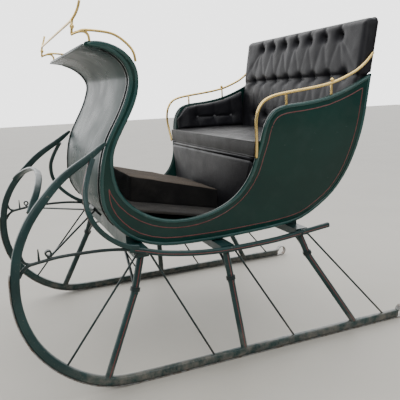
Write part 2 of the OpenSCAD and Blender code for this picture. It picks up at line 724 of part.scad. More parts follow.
dash_loop(-1);  // dash_loop_left
dash_loop(1);  // dash_loop_right
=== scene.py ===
import bpy
import bmesh
import math
from mathutils import Matrix, Vector, noise
from mathutils.bvhtree import BVHTree


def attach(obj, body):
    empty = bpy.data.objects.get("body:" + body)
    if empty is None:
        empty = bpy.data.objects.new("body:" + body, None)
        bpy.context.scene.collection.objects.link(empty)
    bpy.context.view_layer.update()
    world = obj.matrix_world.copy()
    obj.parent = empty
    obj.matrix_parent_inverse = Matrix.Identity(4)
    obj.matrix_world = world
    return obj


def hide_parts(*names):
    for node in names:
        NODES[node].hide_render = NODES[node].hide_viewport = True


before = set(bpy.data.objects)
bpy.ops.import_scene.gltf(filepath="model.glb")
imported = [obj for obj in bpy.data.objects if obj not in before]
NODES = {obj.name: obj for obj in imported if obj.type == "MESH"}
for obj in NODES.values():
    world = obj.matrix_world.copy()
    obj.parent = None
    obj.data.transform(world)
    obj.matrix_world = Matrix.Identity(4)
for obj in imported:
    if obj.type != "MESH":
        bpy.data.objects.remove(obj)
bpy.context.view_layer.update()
SIDES = (("left", -1), ("right", 1))
MM = 0.001

# Camera: focal length, the right and up directions of its picture, and its place in metres
LENS_MM = 46.29
CAMERA_RIGHT = Vector((0.92199, -0.38515, -0.03990))
CAMERA_UP = Vector((0.11448, 0.17270, 0.97830))
CAMERA_PLACE = Vector((-0.85535, -2.22569, 1.03896))

# Studio: brightness of the surroundings, and each soft box's place, target, size in metres and power
WORLD_STRENGTH = 2.9
FLOOR_SIZE = 40
SOFT_BOXES = (
    ("softbox_left", (-1.1, -3.6, 3.0), (-0.1, 0, 0.7), (2.4, 2.0), 62),
    ("softbox_top", (0.6, -0.6, 3.6), (0, 0, 0.6), (3.0, 2.2), 42),
    ("softbox_front", (2.2, -3.2, 2.4), (0.3, 0, 0.7), (1.6, 1.2), 16))

# Edges sharper than these angles, in degrees, stay sharp
CAD_SHARP = 60
TRIM_SHARP = 50

# Trim on the side panels: how far in from the edge, how wide, how high
MOULDING_IN, MOULDING_W, MOULDING_H = 8 * MM, 13 * MM, 4.5 * MM
LINING_IN, LINING_W = 33 * MM, 3.4 * MM

# Painted lines on the running gear, and the beads down the dash: in from its edge, width, height
RAVE_LINE_W, SCROLL_LINE_W, STANCHION_LINE_W = 2.6 * MM, 4.5 * MM, 3.2 * MM
DASH_BEAD_IN, DASH_BEAD_W, DASH_BEAD_H = 13 * MM, 12 * MM, 3.5 * MM

# Bolt heads: the places tried along the runners and raves, how far below the top edge, and radius
RUNNER_BOLT_X = (-0.53, -0.36, -0.14, 0.0, 0.24, 0.52, 0.69)
RAVE_BOLT_X = (-0.36, -0.03, 0.32)
RUNNER_BOLT_DROP, RAVE_BOLT_DROP = 16 * MM, 11 * MM
BOLT_R = 7 * MM

# The back of a pad is rounded this much as its front is
BACK_SOFTNESS = 0.4

# Rows of buttons on the seat back: height in the frame, spacing and number across
HIGH_ROW_Z, MIDDLE_ROW_Z, LOW_ROW_Z = 1.255, 1.087, 0.905
OUTER_SPACING, MIDDLE_SPACING = 0.112, 0.113
OUTER_COUNT, MIDDLE_COUNT = 7, 8

# Buttons on the arm pads: their height, and their places along the pad; one past its end is left out
ARM_ROW_Z = 0.910
ARM_BUTTON_X = (0.246, 0.350, 0.452, 0.540)


# ---------------------------------------------------------------- camera, floor and light

def make_camera():
    """The camera stands to the front left of the sleigh, a little above the seat."""
    data = bpy.data.cameras.new("camera")
    data.lens = LENS_MM
    data.sensor_width = 36
    right, up, place = CAMERA_RIGHT, CAMERA_UP, CAMERA_PLACE
    back = right.cross(up)
    camera = bpy.data.objects.new("camera", data)
    camera.matrix_world = Matrix((
        (right.x, up.x, back.x, place.x),
        (right.y, up.y, back.y, place.y),
        (right.z, up.z, back.z, place.z),
        (0, 0, 0, 1)))
    bpy.context.scene.collection.objects.link(camera)
    bpy.context.scene.camera = camera


def make_area_light(name, place, target, size, power):
    data = bpy.data.lights.new(name, "AREA")
    data.shape = "RECTANGLE"
    data.size, data.size_y = size
    data.energy = power
    light = bpy.data.objects.new(name, data)
    light.location = place
    light.rotation_euler = (Vector(target) - Vector(place)).to_track_quat("-Z", "Y").to_euler()
    bpy.context.scene.collection.objects.link(light)


def make_stage():
    world = bpy.data.worlds.new("studio")
    bpy.context.scene.world = world
    world.use_nodes = True
    tree = world.node_tree
    background = tree.nodes["Background"]
    place = tree.nodes.new("ShaderNodeTexCoord")
    split = tree.nodes.new("ShaderNodeSeparateXYZ")
    ramp = tree.nodes.new("ShaderNodeValToRGB")
    shift = tree.nodes.new("ShaderNodeMath")
    shift.operation = "MULTIPLY_ADD"
    shift.inputs[1].default_value = 0.5
    shift.inputs[2].default_value = 0.5
    tree.links.new(place.outputs["Generated"], split.inputs[0])
    tree.links.new(split.outputs["Y"], shift.inputs[0])
    tree.links.new(shift.outputs[0], ramp.inputs[0])
    tree.links.new(ramp.outputs[0], background.inputs["Color"])
    ramp.color_ramp.elements[0].position = 0.10
    ramp.color_ramp.elements[0].color = (0.06, 0.065, 0.07, 1)
    ramp.color_ramp.elements[1].position = 0.80
    ramp.color_ramp.elements[1].color = (1, 1, 1, 1)
    middle = ramp.color_ramp.elements.new(0.52)
    middle.color = (0.30, 0.31, 0.33, 1)
    background.inputs["Strength"].default_value = WORLD_STRENGTH

    bpy.ops.mesh.primitive_plane_add(size=FLOOR_SIZE)
    floor = bpy.context.object
    floor.name = "floor"
    paint = Shader("floor_grey")
    paint.base = paint.mix(paint.noise(2.0, 4), (0.40, 0.375, 0.325), (0.47, 0.445, 0.39))
    paint.rough = 0.55
    floor.data.materials.append(paint.finish())

    for box in SOFT_BOXES:
        make_area_light(*box)


# ---------------------------------------------------------------- materials

class Shader:
    """Builds one procedural material in object space, which is also the frame's space."""

    def __init__(self, name, metallic=0.0):
        self.material = bpy.data.materials.new(name)
        self.material.use_nodes = True
        self.tree = self.material.node_tree
        self.bsdf = self.tree.nodes["Principled BSDF"]
        self.bsdf.inputs["Metallic"].default_value = metallic
        self.place = self.tree.nodes.new("ShaderNodeTexCoord").outputs["Object"]
        self.base = (0.5, 0.5, 0.5)
        self.rough = 0.5
        self.bumps = []

    def set(self, name, value):
        self.bsdf.inputs[name].default_value = value

    def put(self, socket, value):
        if isinstance(value, bpy.types.NodeSocket):
            self.tree.links.new(value, socket)
        elif isinstance(value, tuple):
            socket.default_value = (*value, 1) if len(value) == 3 else value
        else:
            socket.default_value = value

    def stretched(self, scale):
        node = self.tree.nodes.new("ShaderNodeMapping")
        node.inputs["Scale"].default_value = scale
        self.tree.links.new(self.place, node.inputs["Vector"])
        return node.outputs[0]

    def noise(self, scale, detail=3, rough=0.55, stretch=None):
        node = self.tree.nodes.new("ShaderNodeTexNoise")
        self.put(node.inputs["Vector"], self.stretched(stretch) if stretch else self.place)
        node.inputs["Scale"].default_value = scale
        node.inputs["Detail"].default_value = detail
        node.inputs["Roughness"].default_value = rough
        return node.outputs["Fac"]

    def cells(self, scale):
        node = self.tree.nodes.new("ShaderNodeTexVoronoi")
        node.feature = "DISTANCE_TO_EDGE"
        self.put(node.inputs["Vector"], self.place)
        node.inputs["Scale"].default_value = scale
        return node.outputs["Distance"]

    def ramp(self, value, low, high, out_low=0.0, out_high=1.0):
        node = self.tree.nodes.new("ShaderNodeMapRange")
        self.put(node.inputs["Value"], value)
        for name, number in zip(("From Min", "From Max", "To Min", "To Max"), (low, high, out_low, out_high)):
            node.inputs[name].default_value = number
        return node.outputs[0]

    def height(self):
        node = self.tree.nodes.new("ShaderNodeSeparateXYZ")
        self.tree.links.new(self.place, node.inputs[0])
        return node.outputs["Z"]

    def math(self, operation, a, b):
        node = self.tree.nodes.new("ShaderNodeMath")
        node.operation = operation
        self.put(node.inputs[0], a)
        self.put(node.inputs[1], b)
        return node.outputs[0]

    def mix(self, share, a, b):
        node = self.tree.nodes.new("ShaderNodeMix")
        node.data_type = "RGBA"
        self.put(node.inputs[0], share)
        self.put(node.inputs[6], a)
        self.put(node.inputs[7], b)
        return node.outputs[2]

    def bump(self, value, depth, strength=1.0):
        self.bumps.append((value, depth, strength))

    def finish(self):
        self.put(self.bsdf.inputs["Base Color"], self.base)
        self.put(self.bsdf.inputs["Roughness"], self.rough)
        last = None
        for value, depth, strength in self.bumps:
            node = self.tree.nodes.new("ShaderNodeBump")
            node.inputs["Strength"].default_value = strength
            node.inputs["Distance"].default_value = depth
            self.put(node.inputs["Height"], value)
            if last:
                self.tree.links.new(last, node.inputs["Normal"])
            last = node.outputs[0]
        if last:
            self.tree.links.new(last, self.bsdf.inputs["Normal"])
        return self.material


def coach_paint(name, dark, light, gloss=0.12, wear=0.0, coat=0.12, shine=0.22):
    """Glossy brushed enamel over wood, with fine waviness, dust and a few rubbed spots."""
    s = Shader(name)
    s.base = s.mix(s.ramp(s.noise(2.6, 4), 0.35, 0.7), dark, light)
    rubbed = s.ramp(s.noise(38, 6, 0.7), 0.66 - wear, 0.74 - wear)
    s.base = s.mix(s.math("MULTIPLY", rubbed, 0.35 + wear), s.base, (0.12, 0.15, 0.13))
    dust = s.ramp(s.noise(9, 5), 0.5, 0.8, 0, 0.03)
    s.base = s.mix(dust, s.base, (0.32, 0.33, 0.31))
    s.rough = s.ramp(s.noise(7, 4), 0.3, 0.75, gloss, gloss + 0.16)
    s.set("Specular IOR Level", shine)
    s.set("Coat Weight", coat)
    s.set("Coat Roughness", 0.06)
    s.bump(s.noise(26, 2), 0.0006, 0.25)
    s.bump(s.noise(420, 2), 0.0001, 0.3)
    return s.finish()


def gear_paint(name, dark, light):
    """Older enamel on the running gear: duller, chipped, and dusty near the ground."""
    s = Shader(name)
    s.base = s.mix(s.ramp(s.noise(9, 5), 0.35, 0.7), dark, light)
    chips = s.ramp(s.noise(85, 6, 0.72), 0.62, 0.66)
    s.base = s.mix(s.math("MULTIPLY", chips, 0.55), s.base, (0.16, 0.15, 0.12))
    near_ground = s.ramp(s.height(), 0.14, 0.0)
    grime = s.math("MULTIPLY", near_ground, s.ramp(s.noise(22, 6, 0.7), 0.38, 0.62))
    s.base = s.mix(grime, s.base, (0.17, 0.155, 0.13))
    s.rough = s.ramp(s.noise(14, 4), 0.3, 0.7, 0.26, 0.5)
    s.set("Specular IOR Level", 0.35)
    s.set("Coat Weight", 0.15)
    s.set("Coat Roughness", 0.18)
    s.bump(s.noise(40, 3, 0.6, (0.25, 1, 1)), 0.0008, 0.4)
    s.bump(chips, 0.0003, 0.5)
    return s.finish()


def brass():
    s = Shader("polished_brass", metallic=1.0)
    tarnish = s.ramp(s.noise(14, 4, 0.6), 0.45, 0.8, 0, 0.55)
    s.base = s.mix(tarnish, (0.80, 0.58, 0.22), (0.48, 0.32, 0.12))
    s.rough = s.ramp(s.noise(24, 3), 0.3, 0.8, 0.20, 0.32)
    s.bump(s.noise(300, 3), 0.0001, 0.3)
    return s.finish()


def black_leather(name="black_leather", dark=(0.007, 0.0068, 0.0085), light=(0.015, 0.0148, 0.018)):
    """Soft black upholstery leather with a fine pebbled grain and handling wear."""
    s = Shader(name)
    s.base = s.mix(s.ramp(s.noise(5, 5), 0.35, 0.7), dark, light)
    dust = s.ramp(s.noise(14, 6, 0.65), 0.5, 0.85, 0, 0.06)
    s.base = s.mix(dust, s.base, (0.16, 0.155, 0.155))
    s.rough = s.ramp(s.noise(18, 4), 0.3, 0.75, 0.34, 0.50)
    s.set("Specular IOR Level", 0.18)
    s.set("Sheen Weight", 0.03)
    s.set("Sheen Roughness", 0.4)
    s.bump(s.noise(55, 4, 0.6), 0.0014, 0.35)
    s.bump(s.cells(620), 0.0003, 0.6)
    return s.finish()


def carpet(name, dark, light, dust):
    """Short worn pile, with matted patches and dust."""
    s = Shader(name)
    s.base = s.mix(s.ramp(s.noise(10, 5), 0.35, 0.7), dark, light)
    s.base = s.mix(s.ramp(s.noise(4, 6, 0.7), 0.5, 0.74, 0, 0.5), s.base, dust)
    s.base = s.mix(s.ramp(s.noise(420, 3), 0.4, 0.7, 0, 0.45), s.base, dark)
    s.rough = 0.95
    s.set("Specular IOR Level", 0.12)
    s.set("Sheen Weight", 0.05)
    s.set("Sheen Roughness", 0.6)
    s.bump(s.noise(380, 4, 0.7), 0.0022, 0.8)
    s.bump(s.noise(28, 4), 0.003, 0.5)
    return s.finish()


def worn_iron():
    s = Shader("worn_iron", metallic=0.75)
    rust = s.ramp(s.noise(45, 6, 0.7), 0.45, 0.66)
    s.base = s.mix(rust, (0.30, 0.30, 0.29), (0.13, 0.085, 0.055))
    s.rough = s.ramp(s.noise(60, 5), 0.3, 0.7, 0.34, 0.62)
    s.bump(s.noise(240, 5, 0.7), 0.0004, 0.6)
    return s.finish()


def stripe_red():
    s = Shader("stripe_red")
    s.base = s.mix(s.ramp(s.noise(60, 5, 0.7), 0.4, 0.7), (0.135, 0.018, 0.02), (0.20, 0.05, 0.045))
    s.rough = 0.3
    s.set("Coat Weight", 0.4)
    s.bump(s.noise(400, 3), 0.0001, 0.3)
    return s.finish()


def make_materials():
    return {
        "coach_green": coach_paint("coach_green", (0.003, 0.026, 0.021), (0.005, 0.036, 0.029)),
        # The mouldings are a lighter green than the panels: partly their own paint, partly a painted
        # highlight along the rounded bead.
        "moulding": coach_paint("moulding_green", (0.008, 0.046, 0.041), (0.016, 0.075, 0.068),
                                gloss=0.16, wear=0.03, coat=0.3, shine=0.4),
        "dash_green": coach_paint("dash_green", (0.004, 0.022, 0.020), (0.008, 0.034, 0.031),
                                  gloss=0.22, coat=0.0, shine=0.05),
        "bead_black": coach_paint("bead_black", (0.0025, 0.0045, 0.005), (0.004, 0.008, 0.008), 0.1),
        "gear_green": gear_paint("gear_green", (0.006, 0.026, 0.025), (0.014, 0.046, 0.044)),
        "dark_iron": gear_paint("dark_iron", (0.005, 0.013, 0.013), (0.012, 0.028, 0.027)),
        "brass": brass(),
        "black_leather": black_leather(),
        "button": black_leather("button_leather", (0.05, 0.05, 0.055), (0.12, 0.12, 0.125)),
        "piping": black_leather("piping_leather", (0.014, 0.0135, 0.015), (0.045, 0.043, 0.042)),
        "cushion_leather": black_leather("cushion_leather", (0.008, 0.0078, 0.0085), (0.017, 0.0165, 0.0175)),
        "worn_carpet": carpet("worn_carpet", (0.012, 0.011, 0.010), (0.035, 0.031, 0.027),
                              (0.085, 0.075, 0.062)),
        "rest_top": carpet("rest_top", (0.034, 0.024, 0.016), (0.075, 0.055, 0.037), (0.16, 0.12, 0.08)),
        "rest_side": carpet("rest_side", (0.007, 0.0065, 0.0065), (0.016, 0.015, 0.014), (0.05, 0.045, 0.04)),
        "shoe_iron": worn_iron(),
        "stripe": stripe_red(),
    }


# ---------------------------------------------------------------- mesh helpers

def add_piece(name, mesh, material, replaces=()):
    obj = bpy.data.objects.new(name, mesh)
    bpy.context.scene.collection.objects.link(obj)
    mesh.materials.clear()
    mesh.materials.append(M[material])
    mesh.polygons.foreach_set("use_smooth", [True] * len(mesh.polygons))
    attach(obj, "root")
    if replaces:
        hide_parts(*replaces)
    return obj


def mesh_of(bm, name="mesh"):
    mesh = bpy.data.meshes.new(name)
    bm.to_mesh(mesh)
    bm.free()
    return mesh


def applied(mesh, *modifiers):
    """The mesh with modifiers applied, each given as (type, {setting: value})."""
    obj = bpy.data.objects.new("work", mesh)
    bpy.context.scene.collection.objects.link(obj)
    for kind, settings in modifiers:
        modifier = obj.modifiers.new(kind, kind)
        for key, value in settings.items():
            setattr(modifier, key, value)
    result = bpy.data.meshes.new_from_object(obj.evaluated_get(bpy.context.evaluated_depsgraph_get()))
    bpy.data.objects.remove(obj)
    return result


def cad_copy(node):
    """A welded copy of a CAD node's mesh, with its triangles joined to quads where they lie nearly flat."""
    bm = bmesh.new()
    bm.from_mesh(NODES[node].data)
    bmesh.ops.remove_doubles(bm, verts=bm.verts, dist=1e-5)
    bmesh.ops.join_triangles(bm, faces=bm.faces, angle_face_threshold=math.radians(30),
                             angle_shape_threshold=math.radians(180))
    return bm


def keep_sharp(bm, degrees, crease):
    """Marks the edges sharper than this, so that subdivision leaves them."""
    layer = bm.edges.layers.float.new("crease_edge")
    for e in bm.edges:
        if len(e.link_faces) == 2 and e.calc_face_angle(0) > math.radians(degrees):
            e[layer] = crease


def smoothed(node, levels=2):
    """A subdivided copy of a CAD node that keeps only its sharp edges."""
    bm = cad_copy(node)
    keep_sharp(bm, CAD_SHARP, 0.85)
    return applied(mesh_of(bm), ("SUBSURF", {"levels": levels}))


def curve_through(points, steps):
    """A smooth line through points, with this many steps from each to the next."""
    n = len(points)
    def at(i):
        return points[max(0, min(n - 1, i))]
    line = []
    for i in range(n - 1):
        a, b, c, d = at(i - 1), at(i), at(i + 1), at(i + 2)
        for k in range(steps):
            t = k / steps
            line.append(0.5 * (2 * b + (c - a) * t + (2 * a - 5 * b + 4 * c - d) * t * t
                               + (3 * b - a - 3 * c + d) * t ** 3))
    line.append(points[-1].copy())
    return line


def resampled(points, step, closed=False):
    """Points at equal distances along a line."""
    pts = points + [points[0]] if closed else points
    lengths = [0.0]
    for a, b in zip(pts, pts[1:]):
        lengths.append(lengths[-1] + (b - a).length)
    count = max(2, round(lengths[-1] / step))
    out, k = [], 0
    for i in range(count if closed else count + 1):
        want = lengths[-1] * i / count
        while k < len(pts) - 2 and lengths[k + 1] < want:
            k += 1
        span = max(1e-9, lengths[k + 1] - lengths[k])
        out.append(pts[k].lerp(pts[k + 1], min(1, (want - lengths[k]) / span)))
    return out


def tangents(points, closed=False):
    n = len(points)
    out = []
    for i in range(n):
        a = points[(i - 1) % n] if closed or i else points[0]
        b = points[(i + 1) % n] if closed or i < n - 1 else points[-1]
        out.append((b - a).normalized())
    return out


def sweep(bm, points, normals, section, closed=False):
    """Adds a bar along a line.

    The section's first axis lies across the line and its second along the normal.
    """
    rows = []
    for p, t, n in zip(points, tangents(points, closed), normals):
        n = (n - t * n.dot(t)).normalized()
        across = t.cross(n)
        rows.append([bm.verts.new(p + across * u + n * v) for u, v in section])
    m = len(section)
    pairs = list(zip(rows, rows[1:])) + ([(rows[-1], rows[0])] if closed else [])
    for a, b in pairs:
        for j in range(m):
            bm.faces.new((a[j], a[(j + 1) % m], b[(j + 1) % m], b[j]))
    if not closed:
        bm.faces.new(rows[0][::-1])
        bm.faces.new(rows[-1])
    bmesh.ops.recalc_face_normals(bm, faces=bm.faces)


def round_section(d, sides):
    return [(d / 2 * math.cos(2 * math.pi * k / sides), d / 2 * math.sin(2 * math.pi * k / sides))
            for k in range(sides)]


def bead_section(width, height, sides=12):
    """A half round bead that stands on the surface."""
    top = [(width / 2 * math.cos(math.pi * k / sides), height * math.sin(math.pi * k / sides))
           for k in range(sides + 1)]
    return top + [(-width / 2, -height * 0.3), (width / 2, -height * 0.3)]


def lathe(bm, start, end, profile, sides=24):
    """Adds a turned piece from start to end; the profile has (share of the way, radius)."""
    axis = (end - start).normalized()
    side = axis.orthogonal().normalized()
    other = axis.cross(side)
    rows = []
    for share, radius in profile:
        centre = start.lerp(end, share)
        rows.append([bm.verts.new(centre + radius * (side * math.cos(2 * math.pi * k / sides)
                                                     + other * math.sin(2 * math.pi * k / sides)))
                     for k in range(sides)])
    for a, b in zip(rows, rows[1:]):
        for j in range(sides):
            bm.faces.new((a[j], a[(j + 1) % sides], b[(j + 1) % sides], b[j]))
    bm.faces.new(rows[0][::-1])
    bm.faces.new(rows[-1])
    bmesh.ops.recalc_face_normals(bm, faces=bm.faces)


def finished(bm):
    """The mesh of a bmesh, subdivided once with its sharp edges kept."""
    keep_sharp(bm, TRIM_SHARP, 0.8)
    return applied(mesh_of(bm), ("SUBSURF", {"levels": 1}))


# ---------------------------------------------------------------- body shell

def panel_outline(node, side):
    """The closed outline of a side panel's outer face, in order."""
    bm = cad_copy(node)
    outer = {f for f in bm.faces if f.normal.y * side > 0.6}
    links = {}
    for e in bm.edges:
        if sum(f in outer for f in e.link_faces) == 1:
            a, b = e.verts
            links.setdefault(a, []).append(b)
            links.setdefault(b, []).append(a)
    start = min(links, key=lambda v: v.co.x)
    loop, last, now = [start], None, start
    while True:
        step = [v for v in links[now] if v is not last and v is not start or (v is start and len(loop) > 2)]
        step = [v for v in step if v is start or v not in loop]
        if not step or step[0] is start:
            break
        last, now = now, step[0]
        loop.append(now)
    points = [v.co.copy() for v in loop]
    bm.free()
    return points


class Skin:
    """The outer surface of a side panel, which trim is laid on."""

    def __init__(self, node, side):
        self.side = side
        bm = bmesh.new()
        bm.from_mesh(smoothed(node, 1))
        self.tree = BVHTree.FromBMesh(bm)
        bm.free()

    def at(self, x, z):
        hit, normal, _, _ = self.tree.ray_cast(Vector((x, self.side * 2, z)), Vector((0, -self.side, 0)))
        if hit is None:
            return None
        if normal.y * self.side < 0:
            normal = -normal
        return hit, normal


def inset_loop(loop, distance):
    """A closed line this far inside another, in the plane of x and z."""
    flat = [Vector((p.x, p.z)) for p in loop]
    n = len(flat)
    area = sum(flat[i].x * flat[(i + 1) % n].y - flat[(i + 1) % n].x * flat[i].y for i in range(n))
    turn = 1 if area > 0 else -1
    kept = []
    for i in range(n):
        t = (flat[(i + 1) % n] - flat[i - 1]).normalized()
        p = flat[i] + distance * turn * Vector((-t.y, t.x))
        nearest = min(closest(p, flat[k - 1], flat[k]) for k in range(n))
        if nearest > distance * 0.985:
            kept.append(p)
    return kept


def closest(p, a, b):
    v = b - a
    t = max(0.0, min(1.0, (p - a).dot(v) / max(1e-12, v.length_squared)))
    return (p - a - v * t).length


def lay_on(skin, flat_points, lift=0.0):
    places, normals = [], []
    for p in flat_points:
        hit = skin.at(p.x, p.y)
        if hit:
            places.append(hit[0] + hit[1] * lift)
            normals.append(hit[1])
    return places, normals


def make_side_panels():
    for word, side in SIDES:
        node = "side_panel_" + word
        mesh = smoothed(node)
        add_piece("panel_skin_" + word, mesh, "coach_green", (node,))
        skin = Skin(node, side)
        outline = resampled(panel_outline(node, side), 8 * MM, closed=True)

        def trim_line(inset, outline=outline):
            """Points of x and z along a closed line this far inside the edge of the panel."""
            loop = [Vector((p.x, 0, p.y)) for p in inset_loop(outline, inset)]
            return [Vector((p.x, p.z)) for p in resampled(loop, 7 * MM, closed=True)]

        bm = bmesh.new()
        places, normals = lay_on(skin, trim_line(MOULDING_IN))
        sweep(bm, places, normals, bead_section(MOULDING_W, MOULDING_H), closed=True)
        add_piece("panel_moulding_" + word, finished(bm), "moulding")

        bm = bmesh.new()
        places, normals = lay_on(skin, trim_line(LINING_IN), 0.1 * MM)
        half = LINING_W / 2
        sweep(bm, places, normals,
              [(half, -0.2 * MM), (half, 0.35 * MM), (-half, 0.35 * MM), (-half, -0.2 * MM)], closed=True)
        add_piece("panel_stripe_" + word, mesh_of(bm), "stripe")


def make_sheets():
    plan = (("dash_panel", "dash_green"), ("floor_panel", "coach_green"), ("back_panel", "coach_green"))
    for node, paint in plan:
        add_piece(node + "_skin", smoothed(node), paint, (node,))


def make_boards():
    add_piece("toe_board_carpet", smoothed("toe_board"), "worn_carpet", ("toe_board",))
    add_piece("seat_front_cover", smoothed("seat_front_board"), "black_leather",
              ("seat_front_board",))
    add_piece("seat_deck_cover", smoothed("seat_deck", 1), "black_leather", ("seat_deck",))


# ---------------------------------------------------------------- running gear

def make_gear():
    plan = (
        ("runner", "gear_green"), ("runner_shoe", "shoe_iron"), ("rave", "gear_green"),
        ("side_rail", "dark_iron"), ("scroll_band", "gear_green"))
    for stem, slot in plan:
        for word, _ in SIDES:
            node = stem + "_" + word
            add_piece(node + "_bar", smoothed(node), slot, (node,))
    add_piece("front_cross_bar_band", smoothed("front_cross_bar"), "gear_green",
              ("front_cross_bar",))
    for node, obj in NODES.items():
        if node.startswith(("stanchion", "cross_bench")):
            paint_node(obj, "gear_green")
        if node.startswith(("knee_braces", "stay_rods", "shaft_coupling", "draft_rods")):
            paint_node(obj, "dark_iron")


def face_of(solid, start, direction):
    """The place where a straight line meets a CAD node, and the way its face looks there."""
    direction = Vector(direction)
    place, normal, _, _ = solid.tree.ray_cast(Vector(start), direction)
    if place is None:
        return None
    return place, (normal if normal.dot(direction) < 0 else -normal)


def lay_stripe(bm, pairs, width):
    """A thin painted line through the places of pairs."""
    sweep(bm, [p for p, _ in pairs], [n for _, n in pairs],
          [(width / 2, -0.3 * MM), (width / 2, 0.3 * MM), (-width / 2, 0.3 * MM), (-width / 2, -0.3 * MM)])


def rave_places(solid, side):
    """Along the outer face of a rave, just below its top edge."""
    pairs = []
    for k in range(61):
        x = solid.low.x + 0.02 + (solid.high.x - solid.low.x - 0.03) * k / 60
        ys = [solid.low.y + (solid.high.y - solid.low.y) * t / 8 for t in range(9)]
        tops = [solid.hit((x, y, 2), (0, 0, -1)) for y in ys]
        tops = [t.z for t in tops if t]
        if tops:
            pairs.append(face_of(solid, (x, side * 1.5, max(tops) - 11 * MM), (0, -side, 0)))
    return [p for p in pairs if p]


def stanchion_places(solid, side):
    """Up the outer side of a leaning stanchion."""
    pairs = []
    for k in range(41):
        z = solid.low.z + 12 * MM + (solid.high.z - solid.low.z - 24 * MM) * k / 40
        ys = [solid.low.y + (solid.high.y - solid.low.y) * t / 60 for t in range(61)]
        hits = [(solid.hit((-2, y, z), (1, 0, 0)), solid.hit((2, y, z), (-1, 0, 0))) for y in ys]
        middle = [(a.x + b.x) / 2 for a, b in hits if a and b]
        if middle:
            pairs.append(face_of(solid, (sum(middle) / len(middle), side * 1.5, z), (0, -side, 0)))
    return [p for p in pairs if p]


def scroll_places(solid):
    """Along the middle of the front face of a scroll band."""
    pairs = []
    for k in range(1, 60):
        z = solid.low.z + (solid.high.z - solid.low.z) * k / 60
        ys = [solid.low.y + (solid.high.y - solid.low.y) * t / 80 for t in range(81)]
        ys = [y for y in ys if solid.hit((-2, y, z), (1, 0, 0))]
        if ys:
            pairs.append(face_of(solid, (-2, (ys[0] + ys[-1]) / 2, z), (1, 0, 0)))
    return [p for p in pairs if p]


def make_stripes():
    """Red lines on the outside of the raves, the scroll bands and the stanchions."""
    for word, side in SIDES:
        bm = bmesh.new()
        lay_stripe(bm, rave_places(Solid("rave_" + word), side), RAVE_LINE_W)
        lay_stripe(bm, scroll_places(Solid("scroll_band_" + word)), SCROLL_LINE_W)
        for place in ("front", "mid", "rear"):
            solid = Solid(f"stanchion_{place}_{word}")
            lay_stripe(bm, stanchion_places(solid, side), STANCHION_LINE_W)
        add_piece("gear_stripes_" + word, mesh_of(bm), "stripe")


def make_dash_beads():
    """Dark half round beads down both edges of the front face of the dash."""
    solid = Solid("dash_panel")
    for word, side in SIDES:
        pairs = []
        for k in range(131):
            z = solid.low.z + 10 * MM + (solid.high.z - solid.low.z - 30 * MM) * k / 130
            ys = [solid.high.y - t * 3 * MM for t in range(60)]
            edge = next((y for y in ys if solid.hit((-2, side * y, z), (1, 0, 0))), None)
            pair = edge and face_of(solid, (-2, side * (edge - DASH_BEAD_IN), z), (1, 0, 0))
            if pair and (not pairs or 4 * MM < (pair[0] - pairs[-1][0]).length < 90 * MM):
                pairs.append(pair)
        bm = bmesh.new()
        sweep(bm, [p for p, _ in pairs], [n for _, n in pairs], bead_section(DASH_BEAD_W, DASH_BEAD_H))
        add_piece("dash_bead_" + word, finished(bm), "bead_black")


def make_bolts():
    """Round bolt heads on the outside of the runners and raves.

    A place gets one only if the line down the middle of the piece's box meets the piece there. Both pieces
    bend sideways, so most of the places get none.
    """
    for word, side in SIDES:
        bm = bmesh.new()
        for node, xs, drop in (("runner_", RUNNER_BOLT_X, RUNNER_BOLT_DROP),
                               ("rave_", RAVE_BOLT_X, RAVE_BOLT_DROP)):
            solid = Solid(node + word)
            for x in xs:
                middle = (solid.low.y + solid.high.y) / 2
                top = solid.hit((x, middle, 0.4 if node == "runner_" else 2), (0, 0, -1))
                pair = top and face_of(solid, (x, side * 1.5, top.z - drop), (0, -side, 0))
                if pair:
                    out = Vector((0, side, 0))
                    lathe(bm, pair[0] - out * 1 * MM, pair[0] + out * 4 * MM,
                          [(0, BOLT_R), (0.3, BOLT_R), (0.6, 6 * MM), (0.85, 3.8 * MM), (1, 0.8 * MM)], 14)
        add_piece("bolts_" + word, mesh_of(bm), "dark_iron")


def paint_node(obj, material):
    for slot in obj.material_slots:
        slot.material = M[material]


# ---------------------------------------------------------------- upholstery

class Solid:
    """Finds the faces of a CAD node along straight lines."""

    def __init__(self, node):
        bm = bmesh.new()
        bm.from_mesh(NODES[node].data)
        self.tree = BVHTree.FromBMesh(bm)
        self.low = Vector([min(v.co[k] for v in bm.verts) for k in range(3)])
        self.high = Vector([max(v.co[k] for v in bm.verts) for k in range(3)])
        bm.free()

    def hit(self, start, direction):
        place = self.tree.ray_cast(Vector(start), Vector(direction))[0]
        return place


def edge_steps(length, step, radius):
    """Distances from 0 to length, close together near both ends where an edge is rounded."""
    near = [0, 0.04, 0.12, 0.25, 0.42, 0.65, 0.95]
    first = [radius * k for k in near]
    count = max(2, round((length - 2 * radius) / step))
    middle = [radius + (length - 2 * radius) * k / count for k in range(count + 1)]
    return first + middle + [length - d for d in reversed(first)]


def rounding(d, radius):
    """How far a rounded edge falls back at distance d from the border."""
    return 0.0 if d >= radius else radius - math.sqrt(max(0.0, radius ** 2 - (radius - d) ** 2))


